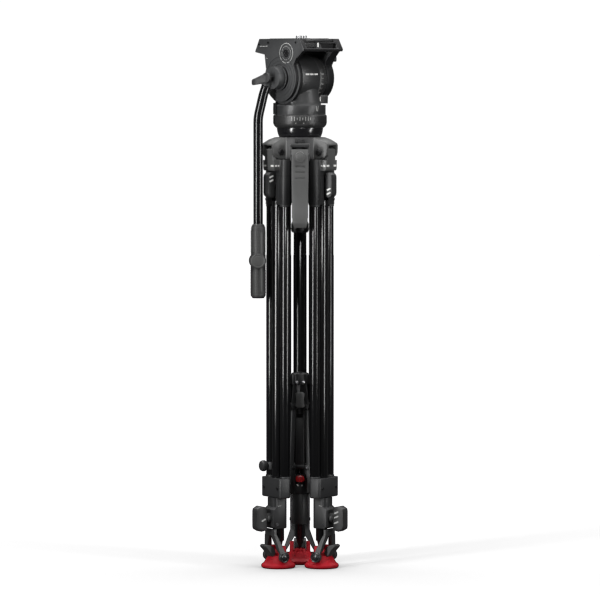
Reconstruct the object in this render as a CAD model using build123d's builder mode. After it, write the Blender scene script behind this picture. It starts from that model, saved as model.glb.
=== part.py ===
from build123d import *
import os
from math import sin, cos, radians, atan2, hypot, degrees

os.makedirs("parts", exist_ok=True)

# ---------------------------------------------------------------- driving dimensions (mm)
R_LEG = 40.5          # tripod axis to the centre of each leg
LEGS = (("a", 210.0), ("b", 330.0), ("c", 90.0))
R_PIN, Z_PIN = 45.0, 672.0      # leg hinge pin
TUBE_R, TUBE_T, TUBE_WALL = 8.0, 22.5, 1.3   # twin tubes
MID_R, MID_IN = 10.5, 9.05      # middle tube outer and bore radius
LOW_R, LOW_IN = 9.0, 7.6        # lower tube
BALL_R, BALL_Z = 37.5, 713.0    # levelling half ball
BOWL_TOP = 696.0
Z_CROWN = 661.5       # underside of the crown
Z_LEGTOP, Z_LEGBOT = 660.4, 588.0
Z_BAND0, Z_BAND1 = 115.0, 146.0  # mid clamp
Z_FC0, Z_FC1 = 65.0, 114.0       # foot clamp
HEAD = -49.0          # azimuth the head faces
Z_TILT = 791.5        # tilt axis height
Z_PLATE = 854.6       # top of the camera platform
ARM_R, ARM_Z = 19.0, 161.0       # spreader arm pivot on a leg
TIP_R, TIP_Z = 15.0, 262.0       # spreader arm tip beside the hub
BAR_R = 7.65


def save(piece, name):
    piece.part.label = name
    export_step(piece.part, "parts/" + name + ".step")


def flat(phi, z):
    """Level plane at height z: sketch x is outward, y is tangential."""
    a = radians(phi)
    return Plane(origin=(0, 0, z), x_dir=(cos(a), sin(a), 0), z_dir=(0, 0, 1))


def side(phi, off=0.0):
    """Upright plane through the axis: sketch x is outward, y is up; normal is clockwise seen from above."""
    a = radians(phi)
    n = (sin(a), -cos(a), 0)
    return Plane(origin=(n[0] * off, n[1] * off, 0), x_dir=(cos(a), sin(a), 0), z_dir=n)


def face(phi, r):
    """Upright plane facing outward at radius r: sketch x is tangential, y is up."""
    a = radians(phi)
    u = (cos(a), sin(a), 0)
    return Plane(origin=(u[0] * r, u[1] * r, 0), x_dir=(-sin(a), cos(a), 0), z_dir=u)


def slab(plane, outline, depth, radius=0.0, both=True, mode=Mode.ADD):
    """Closed outline with rounded corners, extruded."""
    with BuildSketch(plane) as sk:
        with BuildLine():
            Polyline(*outline, close=True)
        make_face()
        if radius:
            fillet(sk.vertices(), radius)
    extrude(sk.sketch, amount=depth, both=both, mode=mode)


def disc(plane, x, y, r, amount, mode=Mode.ADD, both=False, inner=0.0):
    with BuildSketch(plane) as sk:
        with Locations((x, y)):
            Circle(r)
            if inner:
                Circle(inner, mode=Mode.SUBTRACT)
    extrude(sk.sketch, amount=amount, both=both, mode=mode)


def block(plane, x, y, w, h, amount, radius=0.0, mode=Mode.ADD, both=False):
    with BuildSketch(plane) as sk:
        with Locations((x, y)):
            if radius:
                RectangleRounded(w, h, radius)
            else:
                Rectangle(w, h)
    extrude(sk.sketch, amount=amount, both=both, mode=mode)


def wing(phi, r0, r1, zc, half_h, half_w, neck=2.5):
    """Clamp knob with a flat wing, turning about an outward axis."""
    with BuildPart() as k:
        disc(face(phi, r0), 0, zc, 7.0, neck + 0.6)
        w0 = r0 + neck
        d = r1 - w0
        slab(side(phi), [(w0, zc - half_h + 2), (w0, zc + half_h - 2), (w0 + d * 0.55, zc + half_h),
                         (r1 - 0.8, zc + half_h * 0.80), (r1, zc + half_h * 0.62), (r1, zc - half_h * 0.62), (r1 - 0.8, zc - half_h * 0.80), (w0 + d * 0.55, zc - half_h)],
             half_w, radius=1.2)
    return k


# ---------------------------------------------------------------- crown with 75 mm bowl
with BuildPart() as crown:
    with BuildSketch(Plane.XZ):
        with BuildLine():
            Polyline((20, 660), (41, 660), (41, 690), (39.5, BOWL_TOP), (20, BOWL_TOP), close=True)
        make_face()
    revolve(axis=Axis.Z)
    for key, phi in LEGS:
        slab(side(phi), [(20, Z_CROWN), (47, Z_CROWN), (53, 663.5), (58.4, 667.0), (59.8, 672.0), (60.2, 683.4), (58.6, 686.6), (47.5, 692.5), (36.5, BOWL_TOP), (20, BOWL_TOP)], 18.0)
    for key, phi in LEGS:
        slab(side(phi), [(33, 655), (64, 655), (64, 683.4), (33, 683.4)], 12.5, mode=Mode.SUBTRACT)
        disc(side(phi), R_PIN, Z_PIN, 4.0, 24.0, both=True, mode=Mode.SUBTRACT)
    # hollow under the seat for the tie-down cup
    with BuildSketch(Plane.XZ):
        with BuildLine():
            Line((0, 655), (33, 655))
            Line((33, 655), (33, BALL_Z - (44.0 ** 2 - 33.0 ** 2) ** 0.5))
            RadiusArc((33, BALL_Z - (44.0 ** 2 - 33.0 ** 2) ** 0.5), (0, BALL_Z - 44.0), 44.0)
            Line((0, BALL_Z - 44.0), (0, 655))
        make_face()
    revolve(axis=Axis.Z, mode=Mode.SUBTRACT)
    with Locations((0, 0, BALL_Z)):
        Sphere(BALL_R + 0.35, mode=Mode.SUBTRACT)
    disc(Plane.XY.offset(640), 0, 0, 20.0, 60.0, mode=Mode.SUBTRACT)
    block(Plane.XY.offset(650), 0, 0, 200, 200, Z_CROWN - 650, mode=Mode.SUBTRACT)
    # lug for the carry handle, at the front, under a small frame
    slab(side(270), [(36, 664), (55.5, 662.5), (55.5, 673.5), (45.0, 670.4), (40.6, 670.0), (40.6, 684), (36, 684)], 7.5)
    disc(side(270), 55.5, 668.0, 5.5, 7.5, both=True)
    block(face(270, 36), 0, 683.6, 30.6, 6.0, 15.0, radius=1.5)
    for k in range(-3, 4):
        block(face(270, 40.2), k * 2.6, 690.2, 1.2, 7.0, 1.6)
    disc(side(270), 55.5, 668.0, 3.0, 20.0, both=True, mode=Mode.SUBTRACT)
    with Locations((0, 0, BALL_Z)):
        Sphere(BALL_R + 0.35, mode=Mode.SUBTRACT)
save(crown, "crown_casting")

with BuildPart() as pins:
    for key, phi in LEGS:
        disc(side(phi), R_PIN, Z_PIN, 4.0, 18.0, both=True)
    disc(side(270), 55.5, 668.0, 3.0, 15.0, both=True)
save(pins, "crown_pins")

# folding carry handle in front, hanging from its pin
with BuildPart() as handle:
    slab(side(270), [(51.8, 556), (51.8, 676.4), (62.5, 677.4), (64.8, 668), (62.5, 640), (61.0, 558), (58.0, 551.5), (53.0, 551.5)], 13.6)
    for sx in (-1, 1):
        slab(face(270, 48), [(sx * 13.7, 640), (sx * 13.7, 545), (sx * 8.0, 545), (sx * 9.6, 551.6), (sx * 12.4, 560)], 20.0, both=False, mode=Mode.SUBTRACT)
    slab(side(270), [(45, 662.0), (61.3, 662.0), (61.3, 690), (45, 690)], 7.8, mode=Mode.SUBTRACT)
    disc(side(270), 55.5, 668.0, 3.05, 20.0, both=True, mode=Mode.SUBTRACT)
    disc(face(270, 61.6), 0, 665.5, 8.8, 4.2)
    for z in (650.0, 640.5, 631.0):
        block(face(270, 60.6), 0, z, 14.5, 2.4, 8.0, mode=Mode.SUBTRACT)
save(handle, "carry_handle")

# ---------------------------------------------------------------- legs
for key, phi in LEGS:
    with BuildPart() as top:
        with BuildSketch(flat(phi, Z_LEGBOT)):
            with Locations((R_LEG - 0.5, 0)):
                RectangleRounded(17.6, 62.4, 6.5)
        extrude(amount=Z_LEGTOP - Z_LEGBOT)
        slab(side(phi), [(36.5, 650), (53.5, 650), (54.0, Z_PIN), (36.0, Z_PIN)], 11.9)
        slab(side(phi), [(44, 642.6), (57.0, 642.6), (58.2, 646), (58.6, 659.5), (44, 659.5)], 17.8)
        slab(side(phi), [(44, 650), (58.4, 650), (59.0, 676), (57.4, 677.8), (52.6, 679.6), (44, 679.6)], 11.9)
        disc(side(phi), R_PIN, Z_PIN, 9.0, 11.9, both=True)
        disc(side(phi), R_PIN, Z_PIN, 4.05, 20.0, both=True, mode=Mode.SUBTRACT)
        disc(flat(phi, 580), R_LEG, 0, MID_R + 0.45, 52.0, mode=Mode.SUBTRACT)
        for s in (-1, 1):
            disc(flat(phi, 580), R_LEG, s * TUBE_T, TUBE_R, 62.0, mode=Mode.SUBTRACT)
        disc(face(phi, 44), 0, 619.5, 3.05, 12.0, mode=Mode.SUBTRACT)
    save(top, "leg_top_" + key)

    with BuildPart() as tubes:
        for s in (-1, 1):
            disc(flat(phi, Z_BAND0 + 4), R_LEG, s * TUBE_T, TUBE_R, 642.0 - Z_BAND0 - 4, inner=TUBE_R - TUBE_WALL)
    save(tubes, "leg_tubes_" + key)

    with BuildPart() as band:
        with BuildSketch(flat(phi, Z_BAND0)) as sk:
            with Locations((R_LEG + 4.0, 0)):
                RectangleRounded(20.4, 62.0, 5.0)
        extrude(amount=Z_BAND1 - Z_BAND0)
        chamfer(band.edges().filter_by(GeomType.LINE).filter_by(Axis.Z, reverse=True).group_by(Axis.Z)[0], 1.2)
        disc(flat(phi, Z_BAND0), R_LEG, 0, 13.2, Z_BAND1 - Z_BAND0)
        # lugs that carry the spreader arm
        for s in (-1, 1):
            slab(side(phi, s * 9.7), [(14.5, ARM_Z - 2), (14.5, ARM_Z + 4.5), (23.5, ARM_Z + 4.5), (27.5, 146), (33, 132), (33, 122), (22, 138)], 1.7)
        disc(flat(phi, Z_BAND0 - 2), R_LEG, 0, MID_R + 0.05, 60, mode=Mode.SUBTRACT)
        for s in (-1, 1):
            disc(flat(phi, Z_BAND0 + 4), R_LEG, s * TUBE_T, TUBE_R, 60, mode=Mode.SUBTRACT)
            disc(side(phi, s * 9.7), ARM_R, ARM_Z, 2.05, 4.0, both=True, mode=Mode.SUBTRACT)
        if key == "c":
            disc(face(phi, 24.0), 0, 140.0, 4.05, 6.0, mode=Mode.SUBTRACT)
    save(band, "mid_clamp_" + key)

    with BuildPart() as middle:
        disc(flat(phi, Z_FC0 + 2), R_LEG, 0, MID_R, 594.0 - Z_FC0 - 2, inner=MID_IN)
    save(middle, "middle_tube_" + key)

    with BuildPart() as fclamp:
        block(flat(phi, Z_FC0), R_LEG + 2.8, 0, 17.6, 31.5, Z_FC1 - Z_FC0, radius=3.0)
        slab(side(phi), [(R_LEG + 5, Z_FC0), (R_LEG + 5, 100), (R_LEG + 11, 100), (R_LEG + 17, 95), (R_LEG + 17, Z_FC0 + 3), (R_LEG + 14, Z_FC0)], 15.7)
        disc(flat(phi, Z_FC0), R_LEG, 0, 13.0, Z_FC1 - Z_FC0)
        disc(flat(phi, Z_FC0 + 2), R_LEG, 0, MID_R, 80, mode=Mode.SUBTRACT)
        disc(flat(phi, Z_FC0 - 4), R_LEG, 0, LOW_R + 0.05, 80, mode=Mode.SUBTRACT)
        disc(face(phi, R_LEG + 14), 0, 81.0, 3.05, 12.0, mode=Mode.SUBTRACT)
    save(fclamp, "foot_clamp_" + key)

    with BuildPart() as lower:
        disc(flat(phi, 44.0), R_LEG, 0, LOW_R, 500.0, inner=LOW_IN)
        with BuildSketch(side(phi)) as sk:
            with BuildLine():
                Polyline((R_LEG, 24.5), (R_LEG + 1.2, 25.0), (R_LEG + 5.0, 34.0), (R_LEG + 7.2, 43.8), (R_LEG + 7.2, 58.0), (R_LEG, 58.0), close=True)
            make_face()
        a = radians(phi)
        revolve(axis=Axis((R_LEG * cos(a), R_LEG * sin(a), 0), (0, 0, 1)))
    save(lower, "lower_tube_" + key)

    # rubber foot: faceted cone, cup for the spike and two upright horns
    with BuildPart() as foot:
        a = radians(phi)
        foot_axis = Axis((R_LEG * cos(a), R_LEG * sin(a), 0), (0, 0, 1))
        with BuildSketch(side(phi)) as sk:
            with BuildLine():
                Polyline((R_LEG, 0), (R_LEG + 25.0, 0), (R_LEG + 27.0, 2.0), (R_LEG + 27.0, 5.5), (R_LEG + 22.0, 9.5), (R_LEG + 15.5, 20.0), (R_LEG, 20.0), close=True)
            make_face()
        revolve(axis=foot_axis)
        for s in (-1, 1):
            block(flat(phi, 12.0), R_LEG, s * 13.2, 11.0, 6.4, 23.6, radius=2.0)
        disc(flat(phi, 12.0), R_LEG, 0, 9.6, 12.2)
        with BuildSketch(side(phi)) as sk:
            with BuildLine():
                Polyline((R_LEG, 20.2), (R_LEG + 3.0, 20.2), (R_LEG + 7.4, 24.4), (R_LEG, 24.4), close=True)
            make_face()
        revolve(axis=foot_axis, mode=Mode.SUBTRACT)
        for s in (-1, 1):
            disc(side(phi, s * 16.4), R_LEG + 4.0, 15.0, 3.0, s * 12.0, mode=Mode.SUBTRACT)
    save(foot, "foot_" + key)

    # rubber retaining strap: two arms from the studs up to the front of the clamp
    with BuildPart() as strap:
        for s in (-1, 1):
            # stud with a round button at its end
            disc(side(phi, s * 16.4), R_LEG + 4.0, 15.0, 3.0, s * 8.0)
            disc(side(phi, s * 22.6), R_LEG + 4.0, 19.0, 8.6, s * 5.4)
        for s in (-1, 1):
            with BuildSketch(flat(phi, 22.0)):
                with Locations((R_LEG + 5.0, -s * 24.6)):
                    Rectangle(10.5, 4.4)
            with BuildSketch(flat(phi, 54.0)):
                with Locations((R_LEG + 13.6, -s * 9.2)):
                    Rectangle(4.6, 13.0)
            loft()
        block(flat(phi, 53.0), R_LEG + 13.6, 0, 4.6, 31.4, 10.0, radius=1.5)
    save(strap, "foot_strap_" + key)

    knob = wing(phi, 49.5, 63.2, 619.5, 20.4, 8.4)
    with BuildPart() as upper:
        add(knob.part)
        disc(face(phi, 44.5), 0, 619.5, 3.0, 7.0)
    save(upper, "upper_clamp_knob_" + key)

    knob = wing(phi, 58.0, 84.0, 81.0, 20.2, 7.8, neck=8.5)
    with BuildPart() as lowk:
        add(knob.part)
        disc(face(phi, R_LEG + 14.5), 0, 81.0, 3.0, 6.0)
    save(lowk, "lower_clamp_knob_" + key)

    # telescopic spreader arm: sleeve pivoted on the leg, rod towards the hub
    dr, dz = TIP_R - ARM_R, TIP_Z - ARM_Z
    n = hypot(dr, dz)
    a = radians(phi)
    u = Vector(cos(a), sin(a), 0)
    along = u * (dr / n) + Vector(0, 0, dz / n)
    pivot = u * ARM_R + Vector(0, 0, ARM_Z)
    tang = Vector(-sin(a), cos(a), 0)
    arm0 = Plane(origin=pivot, x_dir=tang, z_dir=along)
    with BuildPart() as sleeve:
        with BuildSketch(arm0.offset(3.0)):
            RectangleRounded(14.0, 8.4, 1.5)
        extrude(amount=90.0)
        disc(side(phi), ARM_R, ARM_Z, 4.4, 7.0, both=True)
        disc(side(phi), ARM_R, ARM_Z, 2.0, 11.3, both=True)
        with BuildSketch(arm0.offset(5.5)):
            Rectangle(11.1, 5.9)
        extrude(amount=110.0, mode=Mode.SUBTRACT)
    save(sleeve, "spreader_sleeve_" + key)
    with BuildPart() as rod:
        with BuildSketch(arm0.offset(6.5)):
            Rectangle(11.0, 5.8)
        extrude(amount=n - 6.5)
        disc(side(phi), TIP_R, TIP_Z, 4.2, 5.5, both=True)
    save(rod, "spreader_rod_" + key)

# ---------------------------------------------------------------- spreader hub
with BuildPart() as hub:
    disc(Plane.XY.offset(248), 0, 0, 6.5, 57.0)
    disc(Plane.XY.offset(295.5), 0, 0, 14.0, 18.5)
    for key, phi in LEGS:
        block(flat(phi, 297), 12.0, 0, 10.0, 12.0, 15.0, radius=2.0)
    chamfer(hub.faces().sort_by(Axis.Z)[-1].edges(), 1.0)
    for s in (-1, 1):
        disc(face(270, 13.0), s * 5.0, 299.5, 2.2, 3.0)
    disc(face(270, 0), 0, 272.0, 3.4, 15.0)
    disc(face(270, 5), 0, 272.0, 1.5, 12.0, mode=Mode.SUBTRACT)
save(hub, "spreader_hub")

with BuildPart() as hknob:
    disc(face(270, 15.4), 0, 272.0, 5.0, 3.0)
    slab(face(270, 16.6), [(-7.5, 262), (-4, 259.5), (4, 259.5), (7.5, 262), (6.0, 272), (7.5, 282), (4, 284.5), (-4, 284.5), (-7.5, 282), (-6.0, 272)], 6.5, radius=1.2, both=False)
    disc(face(270, 6), 0, 272.0, 1.45, 11.0)
save(hknob, "spreader_lock_knob")

with BuildPart() as rbtn:
    disc(face(90, 20.0), 0, 140.0, 4.0, 7.4)
    block(face(90, 15.5), 0, 140.5, 14.0, 10.0, 5.0, radius=4.0)
save(rbtn, "spreader_release_button")

# ---------------------------------------------------------------- levelling ball and tie-down
with BuildPart() as ball:
    with Locations((0, 0, BALL_Z)):
        Sphere(BALL_R)
    block(Plane.XY.offset(711.0), 0, 0, 200, 200, 60, mode=Mode.SUBTRACT)
    block(Plane.XY.offset(BALL_Z - 29), 0, 0, 200, 200, -60, mode=Mode.SUBTRACT)
    disc(Plane.XY.offset(705), 0, 0, 20.0, 27.0)
    disc(Plane.XY.offset(725), 0, 0, 12.0, 19.0)
    disc(Plane.XY.offset(640), 0, 0, 5.0, 46.0)
save(ball, "half_ball")

with BuildPart() as tie:
    with BuildSketch(Plane.XZ):
        zc = BALL_Z - (44.4 ** 2 - 27.0 ** 2) ** 0.5
        with BuildLine():
            Line((0, BALL_Z - 44.4), (0, 542))
            Line((0, 542), (12.5, 542))
            Line((12.5, 542), (14.2, 545))
            Line((14.2, 545), (14.2, 556))
            Line((14.2, 556), (12.6, 560))
            Line((12.6, 560), (12.6, 640))
            Line((12.6, 640), (15.5, 655))
            Line((15.5, 655), (27, 668))
            Line((27, 668), (27, zc))
            RadiusArc((27, zc), (0, BALL_Z - 44.4), 44.4)
        make_face()
    revolve(axis=Axis.Z)
    disc(Plane.XY.offset(632), 0, 0, 5.05, 60.0, mode=Mode.SUBTRACT)
save(tie, "tie_down_grip")

# ---------------------------------------------------------------- pan stage
with BuildPart() as ring:
    with BuildSketch(Plane.XZ):
        with BuildLine():
            Polyline((20.05, 711.3), (38.5, 711.3), (43.0, 716.0), (43.0, 731.3), (42.0, 732.2), (20.05, 732.2), close=True)
        make_face()
    revolve(axis=Axis.Z)
    with BuildSketch(Plane.XZ):
        with Locations((43.0, 716.4)):
            Rectangle(1.6, 0.9)
    revolve(axis=Axis.Z, mode=Mode.SUBTRACT)
save(ring, "pan_drag_ring")

# head body: pan housing, pillar and drag drum
with BuildPart() as body:
    with BuildSketch(Plane.XZ):
        with BuildLine():
            Polyline((0, 732.5), (41.5, 732.5), (41.5, 747.6), (41.0, 748.2), (33.0, 776.0), (0, 776.0), close=True)
        make_face()
    revolve(axis=Axis.Z)
    for s in (-1, 1):
        off = 35.4 if s > 0 else 10.8
        block(side(HEAD, s * off), 0, 800, 140, 103.6, s * 60.0, mode=Mode.SUBTRACT)
    disc(side(HEAD, -10.8), 0, Z_TILT, 38.0, 46.2 - 0.0)
    disc(side(HEAD, 10.0), 0, Z_TILT, 36.6, 20.0)
    disc(side(HEAD, -38.0), 0, Z_TILT, 12.0, 78.0)
    # saddle clearance inside the right end ring
    disc(side(HEAD, 30.1), 0, Z_TILT, 42.6, 12.0, mode=Mode.SUBTRACT, inner=12.0)
    disc(side(HEAD, 30.0), 0, Z_TILT, 12.0, 10.0)
    disc(Plane.XY.offset(732.0), 0, 0, 20.3, 1.4, mode=Mode.SUBTRACT)
    disc(Plane.XY.offset(732.0), 0, 0, 12.05, 12.5, mode=Mode.SUBTRACT)
    # tilt brake boss bore, pan brake bore, level pocket
    disc(side(HEAD, -12.0), 33.2, 757.0, 2.55, 14.0, mode=Mode.SUBTRACT)
    disc(face(200, 34.0), 0, 741.0, 2.55, 14.0, mode=Mode.SUBTRACT)
    disc(Plane(origin=(-27.0 * cos(radians(HEAD)) + 22.0 * cos(radians(HEAD + 90)), -27.0 * sin(radians(HEAD)) + 22.0 * sin(radians(HEAD + 90)), 744.5)), 0, 0, 6.5, 20.0, mode=Mode.SUBTRACT)
save(body, "head_body")

lx = -27.0 * cos(radians(HEAD)) + 22.0 * cos(radians(HEAD + 90))
ly = -27.0 * sin(radians(HEAD)) + 22.0 * sin(radians(HEAD + 90))
with BuildPart() as level:
    disc(Plane(origin=(lx, ly, 744.5)), 0, 0, 6.5, 5.2)
    fillet(level.faces().sort_by(Axis.Z)[-1].edges(), 1.0)
save(level, "bubble_level")

with BuildPart() as dial:
    disc(side(HEAD, -25.8), 0, Z_TILT, 37.0, 14.7, inner=12.05)
    chamfer(dial.edges().filter_by(GeomType.CIRCLE).sort_by(SortBy.RADIUS)[-2:], 1.0)
save(dial, "tilt_drag_dial")

with BuildPart() as tbrake:
    disc(side(HEAD, -14.0), 33.2, 757.0, 2.5, 14.0)
    slab(side(HEAD, -11.2), [(27.8, 751.0), (38.6, 750.4), (39.2, 762.0), (36.0, 764.4), (29.0, 764.2)], -14.7, radius=0.8, both=False)
save(tbrake, "tilt_brake_lever")

with BuildPart() as pbrake:
    disc(face(200, 34.5), 0, 741.0, 2.5, 9.0)
    slab(face(200, 42.2), [(-4.0, 733.0), (4.0, 733.0), (4.6, 742), (3.6, 751.5), (-3.6, 751.5), (-4.6, 742)], 2.4, radius=0.8, both=False)
save(pbrake, "pan_brake_lever")

# ---------------------------------------------------------------- tilting platform
with BuildPart() as plat:
    slab(side(HEAD), [(-52.0, Z_PLATE), (47.0, Z_PLATE), (57.5, 837.5), (56.0, 834.2), (-60.0, 832.6), (-62.5, 834.0)], 42.0)
    # right cheek
    disc(side(HEAD, 30.4), 0, Z_TILT, 42.0, 5.8)
    disc(side(HEAD, 36.0), 0, Z_TILT, 38.0, 6.0)
    slab(side(HEAD, 36.0), [(-61, 838), (-61.5, 833.0), (-39, 829.0), (-36.5, 812), (-33, 795), (30, 795), (32, 812), (38, 822), (55, 834.5), (55, 838)], 6.0, both=False)
    # left cheek
    disc(side(HEAD, -42.0), 0, Z_TILT, 36.0, 9.0)
    disc(side(HEAD, -34.0), 0, Z_TILT, 37.4, 7.8)
    slab(side(HEAD, -42.0), [(-56, 838), (-56, 833.0), (-39, 829.0), (-36, 812), (-32, 795), (29, 795), (31, 812), (37, 822), (50, 834.5), (50, 838)], 15.6, both=False)
    # underside of the deck stays clear of the drum
    disc(side(HEAD, -26.2), 0, Z_TILT, 43.6, 56.4, mode=Mode.SUBTRACT, inner=0.0)
    disc(side(HEAD, -38.2), 0, Z_TILT, 12.05, 78.6, mode=Mode.SUBTRACT)
    # dovetail channel for the camera plate
    with BuildSketch(Plane(origin=(0, 0, 0), x_dir=face(HEAD, 0).x_dir, z_dir=face(HEAD, 0).z_dir)) as sk:
        with BuildLine():
            Polyline((-27.3, Z_PLATE + 1), (27.3, Z_PLATE + 1), (30.3, Z_PLATE - 5.3), (-30.3, Z_PLATE - 5.3), close=True)
        make_face()
    extrude(amount=80, both=True, mode=Mode.SUBTRACT)
    # pockets in the front face
    block(face(HEAD, 44.5), -22.5, 844.0, 23.0, 9.6, 20.0, radius=1.5, mode=Mode.SUBTRACT)
    block(face(HEAD, 46.5), 14.5, 843.0, 35.0, 8.0, 20.0, radius=1.5, mode=Mode.SUBTRACT)
    # lock lever pin hole and release button bore
    disc(Plane(origin=(48.0 * cos(radians(HEAD)) + 30.0 * sin(radians(HEAD)), 48.0 * sin(radians(HEAD)) - 30.0 * cos(radians(HEAD)), 836)), 0, 0, 1.55, 13.0, mode=Mode.SUBTRACT)
    disc(side(HEAD, -44.0), 29.0, 822.0, 3.05, 9.0, mode=Mode.SUBTRACT)
    # fixed half of the bar rosette
    disc(side(HEAD, 42.0), 0, Z_TILT, 20.0, 4.2)
save(plat, "tilt_platform")

with BuildPart() as plate:
    with BuildSketch(face(HEAD, -51.6)) as sk:
        with BuildLine():
            Polyline((-26.8, Z_PLATE), (26.8, Z_PLATE), (29.4, Z_PLATE - 5.0), (-29.4, Z_PLATE - 5.0), close=True)
        make_face()
    extrude(amount=98.4)
    block(flat(HEAD, Z_PLATE + 1), 4.0, 0, 44.0, 11.6, -8.0, mode=Mode.SUBTRACT)
save(plate, "camera_plate")

with BuildPart() as screws:
    for f, r in ((-2.9, 4.76), (11.9, 3.175)):
        disc(flat(HEAD, Z_PLATE - 4.6), f, 0, r, 9.6)
        block(flat(HEAD, Z_PLATE - 4.6), f, 0, 11.6, 11.6, 4.6)
save(screws, "camera_screws")

with BuildPart() as plock:
    slab(face(HEAD, 46.0), [(-32.6, 840.2), (-12.4, 840.2), (-12.4, 848.0), (-32.6, 848.0)], 4.4, radius=1.0, both=False)
    disc(Plane(origin=(48.0 * cos(radians(HEAD)) + 30.0 * sin(radians(HEAD)), 48.0 * sin(radians(HEAD)) - 30.0 * cos(radians(HEAD)), 836.6)), 0, 0, 1.5, 12.0)
save(plock, "plate_lock_lever")

with BuildPart() as prel:
    disc(side(HEAD, -46.5), 29.0, 822.0, 3.0, 8.5)
    block(side(HEAD, -48.5), 29.0, 822.0, 11.0, 9.0, 4.2, radius=3.0)
save(prel, "plate_release_button")

# ---------------------------------------------------------------- pan bar
hr = radians(HEAD)
F = Vector(cos(hr), sin(hr), 0)
RT = Vector(sin(hr), -cos(hr), 0)


def hp(f, r, z):
    return F * f + RT * r + Vector(0, 0, z)


B0 = hp(-10.5, 57.5, 791.0)
B1 = hp(-16.0, 64.0, 765.0)
B2 = hp(-21.0, 71.0, 728.0)
B3 = hp(-21.0, 71.0, 438.5)
with BuildPart() as bar:
    with BuildLine() as path:
        FilletPolyline(B0, B1, B2, B3, radius=70)
    with BuildSketch(Plane(origin=path.line @ 0, z_dir=path.line % 0)):
        Circle(BAR_R)
    sweep()
save(bar, "pan_bar")

with BuildPart() as rosette:
    disc(side(HEAD, 46.4), 0, Z_TILT, 17.8, 12.6)
    sock = Plane(origin=B0, z_dir=(B1 - B0))
    with BuildSketch(sock.offset(-4.0)):
        Circle(10.4)
    extrude(amount=17.0)
    block(side(HEAD, 46.4), 0, Z_TILT, 80, 80, -12.0, mode=Mode.SUBTRACT)
    disc(side(HEAD, 46.4), 0, Z_TILT, 3.0, 30.0, mode=Mode.SUBTRACT)
    with BuildSketch(sock):
        Circle(BAR_R)
    extrude(amount=30.0, mode=Mode.SUBTRACT)
save(rosette, "bar_rosette")

with BuildPart() as bwing:
    disc(side(HEAD, 69.4), 0, Z_TILT, 8.5, 4.0)
    disc(side(HEAD, 50.0), 0, Z_TILT, 2.95, 20.0)
    with BuildSketch(side(HEAD, 71.0)):
        with Locations((0, Z_TILT)):
            Circle(8.3)
    with BuildSketch(Plane(origin=hp(-22.0, 80.0, Z_TILT - 6.8), x_dir=F, z_dir=RT)):
        RectangleRounded(9.0, 9.6, 3.0)
    loft()
save(bwing, "bar_clamp_wing")

# moulded grip with a round boss on its side
with BuildPart() as grip:
    g = B3
    with BuildSketch(Plane(origin=(g.X, g.Y, 0), x_dir=(1, 0, 0), z_dir=(0, -1, 0))) as sk:
        with BuildLine():
            Polyline((0, 437.5), (9.0, 437.5), (11.6, 441.5), (11.75, 470), (11.75, 545), (11.2, 551.5), (9.6, 555.5), (0, 555.5), close=True)
        make_face()
    revolve(axis=Axis((g.X, g.Y, 0), (0, 0, 1)))
    with BuildSketch(Plane(origin=(g.X, g.Y, 497.5), x_dir=(1, 0, 0), z_dir=(0, -1, 0))):
        Circle(12.6)
    extrude(amount=13.2)
    disc(Plane(origin=(g.X, g.Y, 438.5)), 0, 0, BAR_R, 130.0, mode=Mode.SUBTRACT)
save(grip, "bar_grip")
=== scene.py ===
import bpy
import bmesh
import math
from math import sin, cos, radians, pi
from mathutils import Vector, Matrix


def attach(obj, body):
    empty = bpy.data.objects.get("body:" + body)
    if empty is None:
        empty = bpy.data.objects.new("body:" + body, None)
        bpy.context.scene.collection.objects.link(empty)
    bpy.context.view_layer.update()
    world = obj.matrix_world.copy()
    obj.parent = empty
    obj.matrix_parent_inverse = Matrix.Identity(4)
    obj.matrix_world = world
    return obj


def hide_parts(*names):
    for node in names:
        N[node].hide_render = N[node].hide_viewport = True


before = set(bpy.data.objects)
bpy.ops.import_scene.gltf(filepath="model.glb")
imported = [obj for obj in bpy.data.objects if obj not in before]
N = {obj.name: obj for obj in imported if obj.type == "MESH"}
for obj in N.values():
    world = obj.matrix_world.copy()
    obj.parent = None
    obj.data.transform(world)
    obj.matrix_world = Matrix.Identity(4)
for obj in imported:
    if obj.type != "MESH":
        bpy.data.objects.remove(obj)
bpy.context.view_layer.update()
scene = bpy.context.scene
MM = 0.001
HEAD = -49.0
LEGS = (("a", 210.0), ("b", 330.0), ("c", 90.0))
R_LEG = 40.5
Z_TILT = 791.5
Z_PLATE = 854.6


# ------------------------------------------------------------------ frames of reference
def basis(phi, r=0.0, t=0.0, z=0.0):
    """Matrix whose x is outward, y tangential and z up, placed at (r, t, z) mm."""
    a = radians(phi)
    u, tt = Vector((cos(a), sin(a), 0)), Vector((-sin(a), cos(a), 0))
    m = Matrix((u, tt, Vector((0, 0, 1)))).transposed().to_4x4()
    m.translation = (u * r + tt * t) * MM + Vector((0, 0, z * MM))
    return m


def head_m(f=0.0, r=0.0, z=0.0):
    """x forward, y to the head's right, z up would be left-handed, so y is left: pass r as distance to the right."""
    return basis(HEAD, f, -r, z)


def axis_m(m, axis):
    """Turns a z-up shape so that its z runs along the named axis of m."""
    if axis == "x":
        return m @ Matrix.Rotation(pi / 2, 4, "Y")
    if axis == "-x":
        return m @ Matrix.Rotation(-pi / 2, 4, "Y")
    if axis == "y":
        return m @ Matrix.Rotation(-pi / 2, 4, "X")
    if axis == "-y":
        return m @ Matrix.Rotation(pi / 2, 4, "X")
    return m


# ------------------------------------------------------------------ materials
def new_mat(name):
    m = bpy.data.materials.new(name)
    m.use_nodes = True
    nt = m.node_tree
    return m, nt, nt.nodes["Principled BSDF"]


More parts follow.
